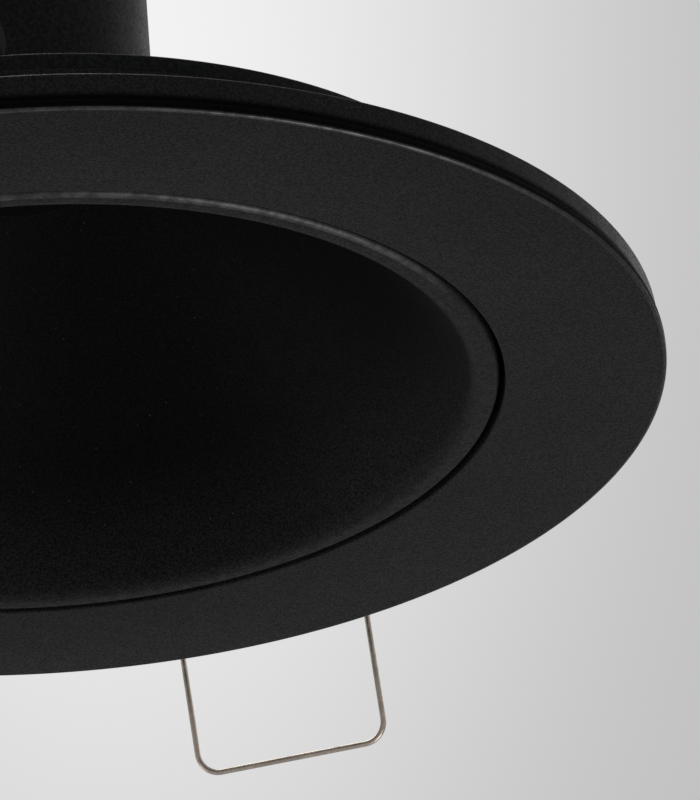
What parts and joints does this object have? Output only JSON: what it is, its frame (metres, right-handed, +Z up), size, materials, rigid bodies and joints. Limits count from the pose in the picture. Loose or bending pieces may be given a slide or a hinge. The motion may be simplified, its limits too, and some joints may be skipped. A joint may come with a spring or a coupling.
{
  "type": "soffit downlight",
  "caption": "Round recessed soffit downlight: flat trim ring, deep baffle with a rolled lip, slim rear can with a cable gland, and sprung wire clips that hold it in the cut-out.",
  "frame": {"origin": "centre of the seat plane, where the rim of the trim ring bears on the soffit board", "axes": "+Z up into the soffit along the light's axis, so the light shines towards -Z; the two spring clips lie on +Y (front) and -Y (rear)"},
  "size_m": [0.16, 0.2062, 0.1129],
  "materials": {
    "trim_black": "fine matte powder coat",
    "baffle_black": "deep matte black",
    "casting_black": "matte powder coat on a die casting",
    "spring_wire": "drawn stainless spring wire",
    "bracket_zinc": "zinc-plated pressed sheet",
    "steel_screws": "stainless",
    "gasket_rubber": "closed-cell sponge rubber",
    "rubber_seal": "smooth",
    "lens_glass": "frosted",
    "reflector_bright": "bright",
    "holder_white": "matte",
    "board_white": "solder mask",
    "emitter_yellow": "silicone",
    "pad_grey": "soft",
    "lead_red": "insulation",
    "lead_dark": "insulation",
    "block_plastic": "matte",
    "clamp_brass": "machined",
    "gland_nylon": "moulded nylon"
  },
  "bodies": {
    "fixture": {"trim_ring": "trim_black", "soffit_gasket": "gasket_rubber", "housing_seal": "rubber_seal", "trim_screws": "steel_screws", "baffle_cone": "baffle_black", "rear_housing": "casting_black", "lens_retainer": "baffle_black", "lens_glass": "lens_glass", "lens_seal": "rubber_seal", "reflector": "reflector_bright", "thermal_pad": "pad_grey", "led_board": "board_white", "led_emitter": "emitter_yellow", "led_holder": "holder_white", "led_screws": "steel_screws", "lead_positive": "lead_red", "lead_negative": "lead_dark", "terminal_block": "block_plastic", "terminal_clamps": "clamp_brass", "terminal_screws": "steel_screws", "rear_cap": "casting_black", "cap_seal": "rubber_seal", "cap_screws": "steel_screws", "gland_body": "gland_nylon", "gland_washer": "rubber_seal", "gland_locknut": "gland_nylon", "gland_insert": "rubber_seal", "gland_nut": "gland_nylon", "bracket_rivets": "steel_screws", "clip_bracket_front": "bracket_zinc", "clip_bracket_rear": "bracket_zinc", "clip_pin_front": "bracket_zinc", "clip_pin_rear": "bracket_zinc", "spring_coils_front": "spring_wire", "spring_coils_rear": "spring_wire"},
    "clip_front": {"spring_arm_front": "spring_wire"},
    "clip_rear": {"spring_arm_rear": "spring_wire"}
  },
  "joints": [
    {"name": "clip_front_hinge", "type": "hinge", "parent": "fixture", "child": "clip_front", "pos_m": [0, 0.0544, 0.0178], "axis": [1, 0, 0], "range_deg": [0, 125], "stiffness_Nm_per_rad": 0.1, "springref_deg": -14.32},
    {"name": "clip_rear_hinge", "type": "hinge", "parent": "fixture", "child": "clip_rear", "pos_m": [0, -0.0544, 0.0178], "axis": [-1, 0, 0], "range_deg": [0, 125], "stiffness_Nm_per_rad": 0.1, "springref_deg": -14.32}
  ]
}
